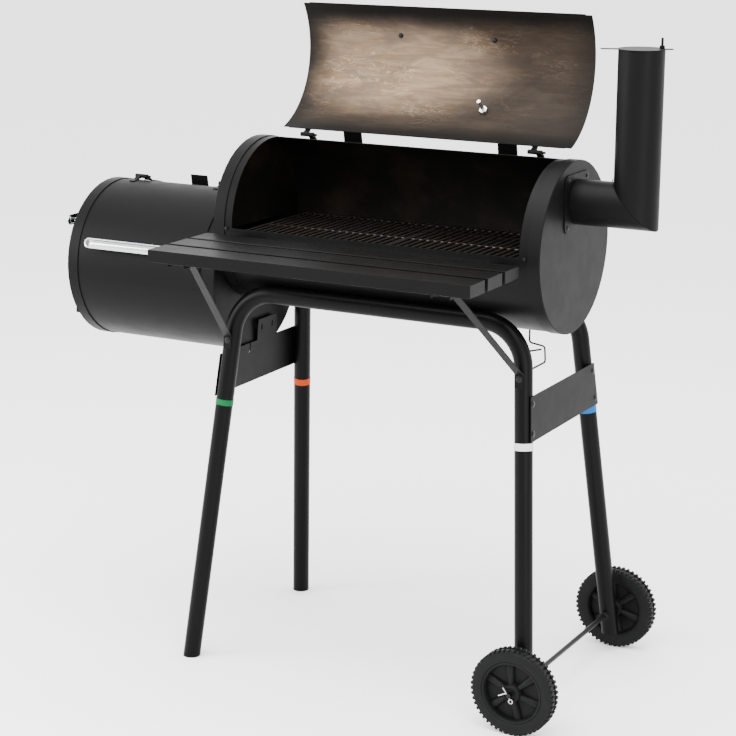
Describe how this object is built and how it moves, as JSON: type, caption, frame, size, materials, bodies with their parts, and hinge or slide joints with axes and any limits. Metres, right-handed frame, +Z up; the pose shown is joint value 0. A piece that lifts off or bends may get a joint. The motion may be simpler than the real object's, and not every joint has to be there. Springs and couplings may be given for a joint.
{
  "type": "offset smoker",
  "caption": "Barrel charcoal smoker with a lower side firebox, hinged lids, elbow chimney, slatted front shelf and a wheeled bent-tube stand.",
  "frame": {"origin": "on the ground, at the middle of the bounding box seen from above", "axes": "+Z up, +X along the barrel towards the chimney, -Y the front with the shelf and handles"},
  "size_m": [1.3054, 0.712, 1.3436],
  "materials": {
    "body_paint": "satin black heat-resistant paint, sooted and browned inside",
    "frame_paint": "semi-gloss black paint on bent tube",
    "shelf_paint": "semi-gloss black paint",
    "grate_steel": "bright plated rod, slightly browned",
    "fire_grate_steel": "heat-browned steel rod",
    "sooted_steel": "sooted folded steel",
    "handle_chrome": "polished chrome",
    "thermometer_chrome": "polished chrome",
    "needle_red": "matt red paint",
    "zinc_steel": "bright zinc plate",
    "wheel_plastic": "moulded black plastic",
    "foot_plastic": "moulded black plastic"
  },
  "bodies": {
    "smoker": {"chamber_shell": "body_paint", "chamber_left_cap": "body_paint", "chamber_right_cap": "body_paint", "chamber_hinge_fixed_left": "body_paint", "chamber_hinge_fixed_right": "body_paint", "lid_stop_left": "body_paint", "lid_stop_right": "body_paint", "cooking_grate_left": "grate_steel", "cooking_grate_right": "grate_steel", "charcoal_grate": "fire_grate_steel", "grate_rail_front": "sooted_steel", "grate_rail_rear": "sooted_steel", "grease_can_hook": "body_paint", "firebox_shell": "body_paint", "firebox_right_cap": "body_paint", "firebox_hinge_fixed_left": "body_paint", "firebox_hinge_fixed_right": "body_paint", "firebox_lid_stop": "body_paint", "firebox_left_cap": "body_paint", "firebox_door_hinge": "body_paint", "firebox_grate": "fire_grate_steel", "chimney_flange": "body_paint", "chimney_flue": "body_paint", "chimney_stack": "body_paint", "chimney_cap_pivot": "body_paint", "leg_front_left": "frame_paint", "leg_front_right": "frame_paint", "frame_sleeve_front": "zinc_steel", "foot_cap_front": "foot_plastic", "leg_rear_left": "frame_paint", "leg_rear_right": "frame_paint", "frame_sleeve_rear": "zinc_steel", "foot_cap_rear": "foot_plastic", "cross_plate_left": "frame_paint", "cross_plate_right": "frame_paint", "axle": "zinc_steel", "shelf_slat_front": "shelf_paint", "shelf_slat_middle": "shelf_paint", "shelf_slat_rear": "shelf_paint", "shelf_rail_left": "shelf_paint", "shelf_brace_left": "shelf_paint", "shelf_rail_right": "shelf_paint", "shelf_brace_right": "shelf_paint"},
    "lid": {"lid": "body_paint", "lid_handle": "handle_chrome", "chamber_hinge_moving_left": "body_paint", "chamber_hinge_moving_right": "body_paint", "thermometer_case": "thermometer_chrome", "thermometer_stem": "zinc_steel"},
    "needle": {"thermometer_needle": "needle_red"},
    "firebox_lid": {"firebox_lid": "body_paint", "firebox_lid_handle": "handle_chrome", "firebox_hinge_moving_left": "body_paint", "firebox_hinge_moving_right": "body_paint"},
    "firebox_door": {"firebox_door": "body_paint", "firebox_door_handle": "handle_chrome"},
    "air_damper": {"air_damper": "zinc_steel"},
    "chimney_cap": {"chimney_cap": "body_paint"},
    "wheel_front": {"wheel_front": "wheel_plastic"},
    "wheel_rear": {"wheel_rear": "wheel_plastic"}
  },
  "joints": [
    {"name": "lid_hinge", "type": "hinge", "parent": "smoker", "child": "lid", "pos_m": [0.11609, 0.10764, 1.0803], "axis": [1, 0, 0], "range_deg": [0, 150]},
    {"name": "firebox_lid_hinge", "type": "hinge", "parent": "smoker", "child": "firebox_lid", "pos_m": [-0.42811, 0.07398, 0.96727], "axis": [-1, 0, 0], "range_deg": [0, 180]},
    {"name": "firebox_door_hinge", "type": "hinge", "parent": "smoker", "child": "firebox_door", "pos_m": [-0.61731, 0.065, 0.689], "axis": [0, -1, 0], "range_deg": [0, 100]},
    {"name": "air_damper_turn", "type": "hinge", "parent": "firebox_door", "child": "air_damper", "pos_m": [-0.61531, 0.065, 0.778], "axis": [1, 0, 0], "range_deg": [0, 60]},
    {"name": "chimney_cap_swing", "type": "hinge", "parent": "smoker", "child": "chimney_cap", "pos_m": [0.63208, 0.08085, 1.295], "axis": [0, 0, 1], "range_deg": [0, 120]},
    {"name": "wheel_front_spin", "type": "hinge", "parent": "smoker", "child": "wheel_front", "pos_m": [0.48644, -0.197, 0.0865], "axis": [0, 1, 0], "continuous": true},
    {"name": "wheel_rear_spin", "type": "hinge", "parent": "smoker", "child": "wheel_rear", "pos_m": [0.48644, 0.327, 0.0865], "axis": [0, 1, 0], "continuous": true},
    {"name": "needle_turn", "type": "hinge", "parent": "lid", "child": "needle", "pos_m": [0.21909, 0.1986, 1.13321], "axis": [0, -0.766, 0.6428], "range_deg": [0, 240]}
  ]
}
